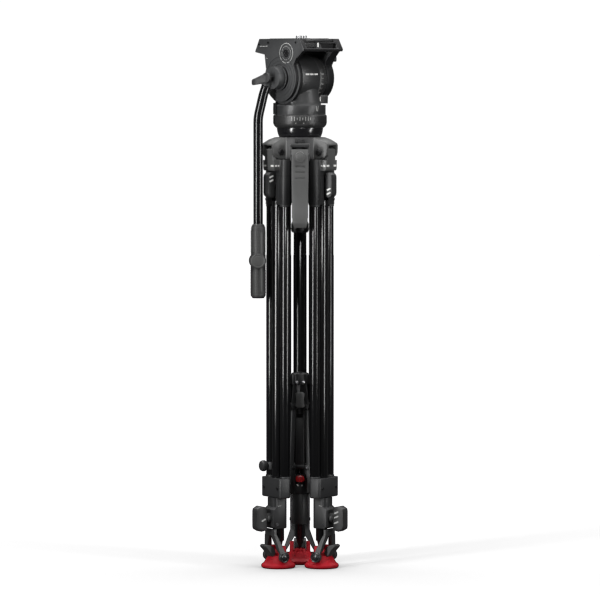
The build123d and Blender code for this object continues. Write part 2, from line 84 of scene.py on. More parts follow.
def noise(nt, scale, detail=4.0, rough=0.55, vec=None, stretch=None):
    tc = nt.nodes.new("ShaderNodeTexCoord")
    n = nt.nodes.new("ShaderNodeTexNoise")
    n.inputs["Scale"].default_value = scale
    n.inputs["Detail"].default_value = detail
    n.inputs["Roughness"].default_value = rough
    src = tc.outputs["Object"]
    if stretch:
        mp = nt.nodes.new("ShaderNodeMapping")
        mp.inputs["Scale"].default_value = stretch
        nt.links.new(src, mp.inputs["Vector"])
        src = mp.outputs["Vector"]
    nt.links.new(src, n.inputs["Vector"])
    return n


def ramp(nt, fac, stops):
    r = nt.nodes.new("ShaderNodeValToRGB")
    while len(r.color_ramp.elements) < len(stops):
        r.color_ramp.elements.new(0.5)
    for e, (p, c) in zip(r.color_ramp.elements, stops):
        e.position = p
        e.color = (c[0], c[1], c[2], 1) if hasattr(c, "__len__") else (c, c, c, 1)
    nt.links.new(fac, r.inputs["Fac"])
    return r


def surface(name, c0, c1, r0, r1, grain=900.0, bump=0.12, dist=0.0002, patch=22.0, metal=0.0, spec=0.5, coat=0.0, wear=None, stretch=None, sheen=0.0):
    """Two close colours in soft patches, roughness that varies, and a fine grain in the bump; wear lightens the edges."""
    m, nt, b = new_mat(name)
    big = noise(nt, patch, 5.0)
    fine = noise(nt, grain, 3.0, 0.6, stretch=stretch)
    col = ramp(nt, big.outputs["Fac"], [(0.32, c0), (0.68, c1)])
    out = col.outputs["Color"]
    if wear:
        geo = nt.nodes.new("ShaderNodeNewGeometry")
        bev = nt.nodes.new("ShaderNodeBevel")
        bev.samples = 4
        bev.inputs["Radius"].default_value = 0.0007
        dot = nt.nodes.new("ShaderNodeVectorMath")
        dot.operation = "DOT_PRODUCT"
        nt.links.new(geo.outputs["Normal"], dot.inputs[0])
        nt.links.new(bev.outputs["Normal"], dot.inputs[1])
        scratch = noise(nt, 160.0, 6.0, 0.7)
        inv = nt.nodes.new("ShaderNodeMapRange")
        inv.inputs["From Min"].default_value = 0.995
        inv.inputs["From Max"].default_value = 0.86
        nt.links.new(dot.outputs["Value"], inv.inputs["Value"])
        mul = nt.nodes.new("ShaderNodeMath")
        mul.operation = "MULTIPLY"
        thr = ramp(nt, scratch.outputs["Fac"], [(0.42, 0.0), (0.62, 1.0)])
        nt.links.new(inv.outputs["Result"], mul.inputs[0])
        nt.links.new(thr.outputs["Color"], mul.inputs[1])
        mix = nt.nodes.new("ShaderNodeMix")
        mix.data_type = "RGBA"
        mix.inputs["B"].default_value = (*wear, 1)
        nt.links.new(mul.outputs["Value"], mix.inputs["Factor"])
        nt.links.new(out, mix.inputs["A"])
        out = mix.outputs["Result"]
    nt.links.new(out, b.inputs["Base Color"])
    rr = nt.nodes.new("ShaderNodeMapRange")
    rr.inputs["To Min"].default_value = r0
    rr.inputs["To Max"].default_value = r1
    nt.links.new(big.outputs["Fac"], rr.inputs["Value"])
    nt.links.new(rr.outputs["Result"], b.inputs["Roughness"])
    bp = nt.nodes.new("ShaderNodeBump")
    bp.inputs["Strength"].default_value = bump
    bp.inputs["Distance"].default_value = dist
    nt.links.new(fine.outputs["Fac"], bp.inputs["Height"])
    nt.links.new(bp.outputs["Normal"], b.inputs["Normal"])
    b.inputs["Metallic"].default_value = metal
    b.inputs["Specular IOR Level"].default_value = spec
    b.inputs["Coat Weight"].default_value = coat
    b.inputs["Coat Roughness"].default_value = 0.12
    if sheen:
        b.inputs["Sheen Weight"].default_value = sheen
    return m


M = {
    "cast": surface("powder_coat", (0.027, 0.0278, 0.0286), (0.037, 0.0380, 0.0392), 0.42, 0.54, 1500, 0.22, 0.00015, wear=(0.050, 0.050, 0.051)),
    # darker, rougher copy of the powder coat: painted shade for the deck's front-facing and downward faces
    "cast_painted_shade": surface("powder_coat_painted_shade", (0.0035, 0.0035, 0.0040), (0.0060, 0.0060, 0.0066), 0.50, 0.62, 1500, 0.2, 0.00015, spec=0.25, wear=(0.03, 0.03, 0.03)),
    "cast2": surface("cast_grey_black", (0.016, 0.0165, 0.017), (0.023, 0.0235, 0.024), 0.34, 0.45, 1300, 0.20, 0.00015, wear=(0.055, 0.055, 0.055)),
    "plastic": surface("moulded_plastic", (0.010, 0.0102, 0.0108), (0.015, 0.0152, 0.016), 0.46, 0.58, 1100, 0.25, 0.00018, wear=(0.042, 0.042, 0.043)),
    "shoulder": surface("shoulder_plastic", (0.052, 0.0525, 0.0520), (0.072, 0.0725, 0.0715), 0.42, 0.54, 1100, 0.22, 0.00016, wear=(0.06, 0.06, 0.06)),
    "tube": surface("black_anodised", (0.0022, 0.0022, 0.0025), (0.0040, 0.0040, 0.0045), 0.13, 0.19, 500, 0.012, 0.00005, patch=9.0, spec=0.5, stretch=(1, 1, 0.04)),
    "knob": surface("knob_plastic", (0.011, 0.011, 0.0115), (0.017, 0.017, 0.0175), 0.44, 0.56, 1000, 0.25, 0.00018, wear=(0.05, 0.05, 0.05)),
    "dial": surface("dial_satin", (0.012, 0.012, 0.0122), (0.018, 0.018, 0.018), 0.34, 0.44, 1200, 0.16, 0.00012, wear=(0.05, 0.05, 0.05)),
    "gloss": surface("gloss_black", (0.004, 0.004, 0.0048), (0.007, 0.007, 0.008), 0.16, 0.22, 500, 0.03, 0.0001, coat=0.3, wear=(0.02, 0.02, 0.02)),
    "steel": surface("machined_steel", (0.42, 0.42, 0.43), (0.52, 0.52, 0.53), 0.26, 0.38, 900, 0.10, 0.0001, metal=1.0, stretch=(1, 1, 0.1)),
    "dark_steel": surface("dark_steel", (0.030, 0.030, 0.031), (0.050, 0.050, 0.052), 0.3, 0.42, 900, 0.1, 0.0001, metal=0.9),
    "red": surface("red_rubber", (0.22, 0.0012, 0.006), (0.31, 0.0022, 0.009), 0.48, 0.60, 900, 0.16, 0.0002, patch=30.0, spec=0.18, wear=(0.40, 0.020, 0.03)),
    # much darker red rubber: painted shade for the hollows of the foot
    "red_painted_shade": surface("red_rubber_painted_shade", (0.05, 0.0006, 0.002), (0.08, 0.001, 0.003), 0.5, 0.62, 900, 0.2, 0.0002, spec=0.2),
    "red_gloss": surface("red_button", (0.38, 0.004, 0.008), (0.48, 0.008, 0.012), 0.2, 0.3, 700, 0.05, 0.0001, coat=0.3),
    "rubber": surface("black_rubber", (0.012, 0.012, 0.012), (0.018, 0.018, 0.018), 0.5, 0.62, 900, 0.3, 0.0002, wear=(0.04, 0.04, 0.04)),
    "strap": surface("strap_rubber", (0.020, 0.0205, 0.021), (0.029, 0.0295, 0.030), 0.42, 0.54, 900, 0.25, 0.0002, wear=(0.05, 0.05, 0.05)),
    "strap_gloss": surface("strap_button_rubber", (0.010, 0.0102, 0.0108), (0.015, 0.0152, 0.016), 0.22, 0.32, 900, 0.12, 0.0001, coat=0.15, wear=(0.04, 0.04, 0.04)),
    "grip": surface("grip_rubber", (0.030, 0.030, 0.0295), (0.042, 0.042, 0.0415), 0.46, 0.58, 1100, 0.35, 0.0002, wear=(0.06, 0.06, 0.06)),
    "grip_base": surface("grip_rubber_base", (0.009, 0.009, 0.009), (0.014, 0.014, 0.014), 0.5, 0.62, 1100, 0.3, 0.0002),
    # pale paint for labels and index marks; also the painted highlights on the upper wing knobs
    "mark": surface("pale_paint_and_painted_highlight", (0.60, 0.60, 0.58), (0.72, 0.72, 0.70), 0.5, 0.62, 800, 0.1, 0.0001),
    # grey paint for printed numbers, ticks and index marks; also painted highlights on the pan housing, the lower knobs
    # and the handle cap
    "greymark_and_painted_highlight": surface("grey_paint_and_painted_highlight", (0.30, 0.30, 0.295), (0.38, 0.38, 0.37), 0.5, 0.62, 800, 0.1, 0.0001),
    "dark": surface("dark_recess", (0.003, 0.003, 0.003), (0.005, 0.005, 0.005), 0.6, 0.75, 800, 0.1, 0.0001),
    "vial": surface("level_fluid", (0.42, 0.55, 0.12), (0.50, 0.62, 0.16), 0.08, 0.14, 300, 0.02, 0.0001, coat=1.0),
}

CAD_MAT = {
    "crown_casting": "shoulder", "crown_pins": "dark_steel", "carry_handle": "shoulder",
    "spreader_hub": "plastic", "spreader_lock_knob": "shoulder", "spreader_release_button": "red_gloss",
    "half_ball": "gloss", "tie_down_grip": "plastic", "pan_drag_ring": "dial", "head_body": "cast2",
    "bubble_level": "vial", "tilt_drag_dial": "dial", "tilt_brake_lever": "knob", "pan_brake_lever": "knob",
    "tilt_platform": "cast", "camera_plate": "cast2", "camera_screws": "steel", "plate_lock_lever": "knob",
    "plate_release_button": "knob", "bar_rosette": "cast", "pan_bar": "tube", "bar_grip": "grip_base", "bar_clamp_wing": "knob",
}
for key, phi in LEGS:
    CAD_MAT.update({
        "leg_top_" + key: "plastic", "leg_tubes_" + key: "tube", "mid_clamp_" + key: "plastic", "middle_tube_" + key: "tube",
        "foot_clamp_" + key: "plastic", "lower_tube_" + key: "tube", "foot_" + key: "red", "foot_strap_" + key: "strap",
        "upper_clamp_knob_" + key: "knob", "lower_clamp_knob_" + key: "knob",
        "spreader_sleeve_" + key: "plastic", "spreader_rod_" + key: "dark_steel",
    })
BEVEL = {"tube": 0.0002, "cast": 0.0007, "cast2": 0.0008, "plastic": 0.0008, "shoulder": 0.0010, "knob": 0.0008, "dial": 0.0004, "red": 0.0009, "strap": 0.0006}
for name, ob in N.items():
    key = CAD_MAT[name]
    ob.data.materials.clear()
    ob.data.materials.append(M[key])
    for p in ob.data.polygons:
        p.use_smooth = True
    if name == "tilt_platform":
        # painted shade: deck faces turned to the front, and faces turned down, get a darker copy of the powder coat
        ob.data.materials.append(M["cast_painted_shade"])
        fx, fy = cos(radians(HEAD)), sin(radians(HEAD))
        for p in ob.data.polygons:
            nv = ob.matrix_world.to_3x3() @ p.normal
            if nv.x * fx + nv.y * fy > 0.45 or nv.z < -0.5:
                p.material_index = 1
    if name == "crown_casting":
        # crown faces in the three gaps between the legs, round the handle, get the darker plastic
        ob.data.materials.append(M["plastic"])
        for p in ob.data.polygons:
            c = ob.matrix_world @ p.center
            for g in (270.0, 30.0, 150.0):
                ca, sa = cos(radians(g)), sin(radians(g))
                if c.x * ca + c.y * sa > 0.020 and abs(-c.x * sa + c.y * ca) < 0.021:
                    p.material_index = 1
    if name.startswith("leg_top_"):
        ob.data.materials.append(M["shoulder"])
        for p in ob.data.polygons:
            if (ob.matrix_world @ p.center).z > 0.6425:
                p.material_index = 1
    w = ob.modifiers.new("weld", "WELD")
    w.merge_threshold = 1e-6
    wd = BEVEL.get(key, 0.0004)
    bv = ob.modifiers.new("edge", "BEVEL")
    bv.width = wd
    bv.segments = 2
    bv.limit_method = "ANGLE"
    bv.angle_limit = radians(38)
    bv.use_clamp_overlap = True
    bv.harden_normals = True


# ------------------------------------------------------------------ mesh helpers
def finish_mesh(bm, name, mat, body, smooth=35.0, bevel=0.0, segs=2, subsurf=0, replaces=()):
    me = bpy.data.meshes.new(name)
    bmesh.ops.recalc_face_normals(bm, faces=bm.faces)
    bm.to_mesh(me)
    bm.free()
    for p in me.polygons:
        p.use_smooth = True
    if not bevel:
        me.set_sharp_from_angle(angle=radians(smooth))
    ob = bpy.data.objects.new(name, me)
    scene.collection.objects.link(ob)
    me.materials.append(M[mat])
    if bevel:
        bv = ob.modifiers.new("edge", "BEVEL")
        bv.width = bevel
        bv.segments = segs
        bv.limit_method = "ANGLE"
        bv.angle_limit = radians(smooth)
        bv.harden_normals = True
    if subsurf:
        ss = ob.modifiers.new("sub", "SUBSURF")
        ss.levels = subsurf
        ss.render_levels = subsurf
    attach(ob, body)
    if replaces:
        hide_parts(*replaces)
    return ob


def lathe(bm, prof, m, n=64, closed=False):
    """Revolve (r, z) mm points about z of matrix m. Points at r=0 close the ends."""
    rings = []
    for r, z in prof:
        if r < 1e-6:
            rings.append([bm.verts.new(m @ Vector((0, 0, z * MM)))])
        else:
            rings.append([bm.verts.new(m @ Vector((r * cos(2 * pi * i / n) * MM, r * sin(2 * pi * i / n) * MM, z * MM))) for i in range(n)])
    pairs = list(zip(rings, rings[1:]))
    if closed:
        pairs.append((rings[-1], rings[0]))
    for a, b in pairs:
        for i in range(n):
            j = (i + 1) % n
            if len(a) == 1 and len(b) == 1:
                continue
            if len(a) == 1:
                bm.faces.new((a[0], b[i], b[j]))
            elif len(b) == 1:
                bm.faces.new((a[i], a[j], b[0]))
            else:
                bm.faces.new((a[i], a[j], b[j], b[i]))


def prism(bm, pts, h0, h1, m, inset=0.0):
    """Extrude a closed (x, y) mm outline from z=h0 to h1 in m; inset shrinks the top towards the centroid."""
    cx = sum(p[0] for p in pts) / len(pts)
    cy = sum(p[1] for p in pts) / len(pts)
    lo = [bm.verts.new(m @ Vector((x * MM, y * MM, h0 * MM))) for x, y in pts]
    hi = []
    for x, y in pts:
        d = math.hypot(x - cx, y - cy) or 1.0
        k = max(0.0, (d - inset) / d)
        hi.append(bm.verts.new(m @ Vector(((cx + (x - cx) * k) * MM, (cy + (y - cy) * k) * MM, h1 * MM))))
    n = len(pts)
    bm.faces.new(list(reversed(lo)))
    bm.faces.new(hi)
    for i in range(n):
        j = (i + 1) % n
        bm.faces.new((lo[i], lo[j], hi[j], hi[i]))


def rrect(w, h, r, n=5, cx=0.0, cy=0.0):
    pts = []
    for qx, qy, a0 in ((1, 1, 0), (-1, 1, 90), (-1, -1, 180), (1, -1, 270)):
        for i in range(n + 1):
            a = radians(a0 + 90.0 * i / n)
            pts.append((cx + qx * (w / 2 - r) + r * cos(a), cy + qy * (h / 2 - r) + r * sin(a)))
    return pts


def circle(r, n=32, cx=0.0, cy=0.0):
    return [(cx + r * cos(2 * pi * i / n), cy + r * sin(2 * pi * i / n)) for i in range(n)]


def outward(phi, r, t, z):
    """Matrix on a face that looks outward: x tangential, y up, z outward."""
    a = radians(phi)
    u, tt = Vector((cos(a), sin(a), 0)), Vector((-sin(a), cos(a), 0))
    m = Matrix((tt, Vector((0, 0, 1)), u)).transposed().to_4x4()
    m.translation = (u * r + tt * t) * MM + Vector((0, 0, z * MM))
    return m


def rightward(f, r, z):
    """Matrix on a face that looks to the head's right: x forward, y up, z right."""
    a = radians(HEAD)
    F, R = Vector((cos(a), sin(a), 0)), Vector((sin(a), -cos(a), 0))
    m = Matrix((F, Vector((0, 0, 1)), R)).transposed().to_4x4()
    m.translation = (F * f + R * r) * MM + Vector((0, 0, z * MM))
    return m


def leftward(f, r, z):
    """Matrix on a face that looks to the head's left: x backward, y up, z left."""
    a = radians(HEAD)
    F, R = Vector((cos(a), sin(a), 0)), Vector((sin(a), -cos(a), 0))
    m = Matrix((-F, Vector((0, 0, 1)), -R)).transposed().to_4x4()
    m.translation = (F * f + R * r) * MM + Vector((0, 0, z * MM))
    return m


def drum_m(angle, r, radius):
    """Matrix on the drum about the tilt axis: x along the axis to the head's left, y up the rim, z radial; angle above the front."""
    a = radians(HEAD)
    F, R = Vector((cos(a), sin(a), 0)), Vector((sin(a), -cos(a), 0))
    q = radians(angle)
    n = F * cos(q) + Vector((0, 0, 1)) * sin(q)
    y = Vector((0, 0, 1)) * cos(q) - F * sin(q)
    m = Matrix((-R, y, n)).transposed().to_4x4()
    m.translation = (R * r + n * radius) * MM + Vector((0, 0, Z_TILT * MM))
    return m


def bar_on(bm, w, h, m, up=0.25, down=0.3, r=0.4, cx=0.0, cy=0.0, ang=0.0):
    """Small raised bar, w along x and h along y, turned by ang about z."""
    prism(bm, rrect(w, h, min(r, w / 2.2, h / 2.2), 3), -down, up, m @ Matrix.Translation((cx * MM, cy * MM, 0)) @ Matrix.Rotation(radians(ang), 4, "Z"), inset=0.06)


SEG = {"a": (0, 2, 2.2, 0.5), "b": (1, 1, 0.5, 2.2), "c": (1, -1, 0.5, 2.2), "d": (0, -2, 2.2, 0.5), "e": (-1, -1, 0.5, 2.2), "f": (-1, 1, 0.5, 2.2), "g": (0, 0, 2.2, 0.5)}
DIG = {0: "abcdef", 1: "bc", 2: "abged", 3: "abgcd", 4: "fgbc", 5: "afgcd"}


def digit(bm, n, m):
    for k in DIG[n]:
        x, y, w, h = SEG[k]
        prism(bm, rrect(w, h, 0.15, 2), -0.3, 0.14, m @ Matrix.Translation((x * MM, y * MM, 0)))


def tube_ring(bm, r, w, m, z=0.0, n=48):
    """Small torus of ring radius r and wire radius w about z of m."""
    lathe(bm, [(r + w * cos(2 * pi * i / 10), z + w * sin(2 * pi * i / 10)) for i in range(10)], m, n=n, closed=True)


def hexcap(bm, r, h, m, socket=True):
    """Round screw head with a round socket recess."""
    lathe(bm, [(r, -0.4), (r, h * 0.8), (r * 0.94, h), (r * 0.52, h), (r * 0.50, h * 0.35), (0, h * 0.35)], m, n=24)


# ------------------------------------------------------------------ head: side plate
bm = bmesh.new()
lathe(bm, [(15.3, -0.3), (15.3, 0.22), (16.3, 0.22), (16.3, -0.3)], rightward(14.7, 42.0, 831.5), n=72, closed=True)
lathe(bm, [(10.6, -0.3), (10.6, 0.15), (11.0, 0.15), (11.0, -0.3)], rightward(14.7, 42.0, 831.5), n=64, closed=True)
finish_mesh(bm, "side_cap_rings", "greymark_and_painted_highlight", "platform")
bm = bmesh.new()
lathe(bm, [(7.2, -0.3), (7.2, 0.5), (6.6, 1.0), (4.0, 1.0), (3.8, 0.3), (0, 0.3)], rightward(14.7, 42.0, 831.5), n=6)
finish_mesh(bm, "side_cap_hexagon", "dark_steel", "platform", bevel=0.0002)
bm = bmesh.new()
for x in (-7.0, 0.0, 7.0):
    bar_on(bm, 4.6, 1.1, rightward(-41.0, 42.0, 842.5), up=0.15, cx=x, r=0.3)
bar_on(bm, 3.0, 0.9, rightward(-33.0, 42.0, 823.0), up=0.15, r=0.3)
finish_mesh(bm, "side_plate_index", "greymark_and_painted_highlight", "platform")
bm = bmesh.new()
for f, z in ((-52.5, 846.0), (-30.0, 848.5), (38.0, 848.5)):
    hexcap(bm, 1.9, 0.7, rightward(f, 42.0, z))
for f, z in ((-44.0, 846.0), (-20.0, 846.0), (20.0, 846.0), (42.0, 846.0)):
    hexcap(bm, 2.4, 1.0, leftward(f, -42.0, z))
finish_mesh(bm, "deck_side_screws", "dark_steel", "platform")

# front of the deck: pale index on the divider beside the lock lever
a = radians(HEAD)
FW, RW = Vector((cos(a), sin(a), 0)), Vector((sin(a), -cos(a), 0))


def slope_m(f, r, z, nf, nz):
    n = FW * nf + Vector((0, 0, 1)) * nz
    y = Vector((0, 0, 1)) * nf - FW * nz
    m = Matrix((-RW, y, n)).transposed().to_4x4()
    m.translation = (FW * f + RW * r) * MM + Vector((0, 0, z * MM))
    return m


bm = bmesh.new()
bar_on(bm, 1.9, 8.6, slope_m(53.2, 8.0, 844.5, 0.852, 0.523), up=0.2, ang=-24)
finish_mesh(bm, "lock_index", "mark", "platform")
bm = bmesh.new()
for k in range(6):
    bar_on(bm, 1.0, 6.4, outward(HEAD, 50.4, -16.0 - 2.6 * k, 844.1), up=0.5, r=0.3)
finish_mesh(bm, "lock_lever_ribs", "knob", "plate_lock", bevel=0.0002)
# plate: rubber strips, scale lines and thread ridges on the screws
bm = bmesh.new()
for r in (-20.0, 20.0):
    prism(bm, rrect(92.0, 8.0, 1.5), -0.2, 0.7, head_m(-2.4, r, Z_PLATE), inset=0.2)
for r in (-9.5, 9.5):
    for k in range(9):
        prism(bm, rrect(3.2, 4.0, 0.6), -0.2, 0.5, head_m(-40.0 + 9.4 * k, r * 1.0, Z_PLATE), inset=0.1)
finish_mesh(bm, "plate_rubber_strips", "rubber", "plate", smooth=30)
bm = bmesh.new()
for f, rr_ in ((-2.9, 4.76), (11.9, 3.175)):
    for k in range(6):
        z0 = 0.5 + k * 0.82
        lathe(bm, [(rr_ - 0.05, z0 - 0.4), (rr_ + 0.16, z0), (rr_ - 0.05, z0 + 0.4)], head_m(f, 0, Z_PLATE - 0.4), n=32)
finish_mesh(bm, "screw_thread_ridges", "steel", "plate", smooth=20)
bm = bmesh.new()
for k in range(13):
    bar_on(bm, 0.5, 2.2 if k % 3 else 3.6, leftward(-30.0 + 5.0 * k, -42.0, 851.3 - (0 if k % 3 else 0.7)), up=0.12, r=0.1)
finish_mesh(bm, "plate_position_scale", "mark", "platform")

# ------------------------------------------------------------------ head: drum and dial
bm = bmesh.new()
for c, w in ((16.6, 8.0), (7.4, 7.4), (-1.8, 7.6)):
    bar_on(bm, w, 2.6, drum_m(9.0, c, 38.0), up=0.16, r=0.7)
finish_mesh(bm, "drum_plain_bars", "mark", "head")
bm = bmesh.new()
for rr_, w in ((34.2, 0.5), (31.9, 0.35), (-9.9, 0.45)):
    lathe(bm, [(37.6, -w), (38.22, -w), (38.22, w), (37.6, w)], rightward(0, rr_, Z_TILT), n=120, closed=True)
finish_mesh(bm, "drum_seam_rings", "cast", "head")
bm = bmesh.new()
for k in range(6):
    digit(bm, k, drum_m(10.0 - 12.5 * k, -16.4, 37.0) @ Matrix.Rotation(radians(90), 4, "Z"))
for k in range(26):
    bar_on(bm, 2.6 if k % 5 == 0 else 1.5, 0.4, drum_m(14.0 - 2.6 * k, -12.9, 37.0), up=0.12, r=0.12)
finish_mesh(bm, "dial_numbers_and_ticks", "greymark_and_painted_highlight", "tilt_dial")
bm = bmesh.new()
for k in range(72):
    bar_on(bm, 4.6, 1.5, drum_m(5.0 * k, -22.6, 37.0), up=0.55, r=0.4)
finish_mesh(bm, "dial_grip_ribs", "dial", "tilt_dial", smooth=30)
bm = bmesh.new()
bar_on(bm, 0.9, 7.4, slope_m(38.9, -9.6, 757.5, 1.0, 0.0), up=0.2, r=0.2)
finish_mesh(bm, "tilt_index_line", "mark", "head")
bm = bmesh.new()
for k in range(4):
    bar_on(bm, 0.7, 9.0, outward(HEAD, 38.9, 12.0 + 0.75 * k, 757.2), up=0.3, r=0.2)
finish_mesh(bm, "tilt_brake_ribs", "knob", "tilt_brake")
# left side: cover ring, rosette teeth and centre screw
bm = bmesh.new()
lathe(bm, [(34.5, -0.4), (34.5, 0.8), (33.2, 1.3), (24.0, 1.3), (23.0, 0.5), (22.0, 0.5), (22.0, -0.4)], leftward(0, -42.0, Z_TILT), n=96, closed=True)
for k in range(36):
    q = 2 * pi * k / 36
    m = leftward(0, -42.0, Z_TILT) @ Matrix.Rotation(q, 4, "Z")
    prism(bm, [(13.2, -0.55), (19.4, -0.85), (19.4, 0.85), (13.2, 0.55)], -0.3, 0.9, m, inset=0.3)
finish_mesh(bm, "left_rosette_cover", "cast", "platform", smooth=30)
bm = bmesh.new()
hexcap(bm, 5.4, 2.0, leftward(0, -42.0, Z_TILT))
finish_mesh(bm, "left_rosette_screw", "dark_steel", "platform")
# right side: stepped rings round the bar rosette
bm = bmesh.new()
for r0, h in ((35.6, 0.6), (29.5, 0.5), (24.0, 0.4)):
    lathe(bm, [(r0, -0.3), (r0, h), (r0 - 1.4, h), (r0 - 1.4, -0.3)], rightward(0, 42.0, Z_TILT), n=96, closed=True)
finish_mesh(bm, "right_cheek_rings", "cast", "platform", smooth=30)

# ------------------------------------------------------------------ pan ring and housing
bm = bmesh.new()
for k in range(120):
    az = 3.0 * k
    d = (az - (-88.0) + 180) % 360 - 180
    if abs(d) < 25:
        continue
    bar_on(bm, 1.05, 11.6, outward(az, 43.0, 0, 724.3), up=0.4, r=0.35)
finish_mesh(bm, "pan_ring_ribs", "dial", "pan_ring", smooth=30)
bm = bmesh.new()
for k, h in ((-20, 7.0), (-14, 7.0), (-8, 4.2), (-2, 7.0), (4, 4.2), (10, 7.0), (16, 7.0), (21, 4.2)):
    bar_on(bm, 0.8, h, outward(-88.0 + k, 43.0, 0, 726.0), up=0.14, r=0.2)
for k in (-11, 6):
    bar_on(bm, 1.6, 1.6, outward(-88.0 + k, 43.0, 0, 718.9), up=0.14, r=0.7)
finish_mesh(bm, "pan_ring_graduations", "greymark_and_painted_highlight", "pan_ring")
# two slanted grey lines in a V on the pan housing: a painted highlight of the housing
bm = bmesh.new()
bar_on(bm, 0.9, 9.0, outward(-50.0, 41.5, 0, 742.2), up=0.16, r=0.2, ang=10)
bar_on(bm, 0.9, 9.0, outward(-46.0, 41.5, 0, 742.2), up=0.16, r=0.2, ang=-10)
finish_mesh(bm, "pan_housing_painted_highlight", "greymark_and_painted_highlight", "head")
bm = bmesh.new()
for r_, z in ((41.5, 733.6), (41.5, 746.9)):
    lathe(bm, [(r_ - 0.4, z - 0.35), (r_ + 0.2, z - 0.35), (r_ + 0.2, z + 0.35), (r_ - 0.4, z + 0.35)], Matrix.Identity(4), n=120, closed=True)
finish_mesh(bm, "pan_housing_seams", "cast", "head")
bm = bmesh.new()
lathe(bm, [(8.6, -0.6), (8.6, 1.0), (8.0, 1.5), (6.6, 1.5), (6.3, 0.6), (6.3, -0.6)], basis(HEAD, -27.0, 22.0, 748.4), n=48, closed=True)
finish_mesh(bm, "level_bezel", "cast", "head", smooth=30)
bm = bmesh.new()
tube_ring(bm, 2.6, 0.16, basis(HEAD, -27.0, 22.0, 749.75), n=32)
finish_mesh(bm, "level_target_ring", "dark", "head")

# ------------------------------------------------------------------ crown, handle
bm = bmesh.new()
H = outward(270, 65.8, 0, 665.5)
lathe(bm, [(8.6, -0.4), (8.6, 0.35), (8.1, 0.6), (7.4, 0.6), (7.1, 0.1), (6.6, 0.1), (5.8, 0.55), (0, 0.85)], H, n=56)
finish_mesh(bm, "handle_pivot_cap", "shoulder", "carry_handle", smooth=30)
bm = bmesh.new()
for q in range(-52, 53, 4):
    bar_on(bm, 0.62, 0.5, H @ Matrix.Rotation(radians(q), 4, "Z") @ Matrix.Translation((0, 7.8 * MM, 0.6 * MM)), up=0.12, r=0.1)
finish_mesh(bm, "handle_cap_highlight", "greymark_and_painted_highlight", "carry_handle")
bm = bmesh.new()
for s in (-1, 1):
    bar_on(bm, 1.5, 26.0, outward(270, 50.0, s * 14.9, 672.0), up=0.6, down=9.0, r=0.5)
bar_on(bm, 31.0, 1.5, outward(270, 51.0, 0, 685.6), up=0.5, down=1.0, r=0.5)
finish_mesh(bm, "handle_cradle_rails", "shoulder", "crown", bevel=0.0003)
bm = bmesh.new()
for key, phi in LEGS:
    for s in (-1, 1):
        m = basis(phi, 45.0, s * 18.0, 672.0)
        mm = m @ Matrix.Rotation(-s * pi / 2, 4, "X")
        lathe(bm, [(5.4, -0.5), (5.4, 0.9), (4.9, 1.4), (2.6, 1.4), (2.3, 0.5), (0, 0.5)], mm, n=6 if s > 0 else 32)
finish_mesh(bm, "hinge_pin_heads", "dark_steel", "crown", smooth=30)

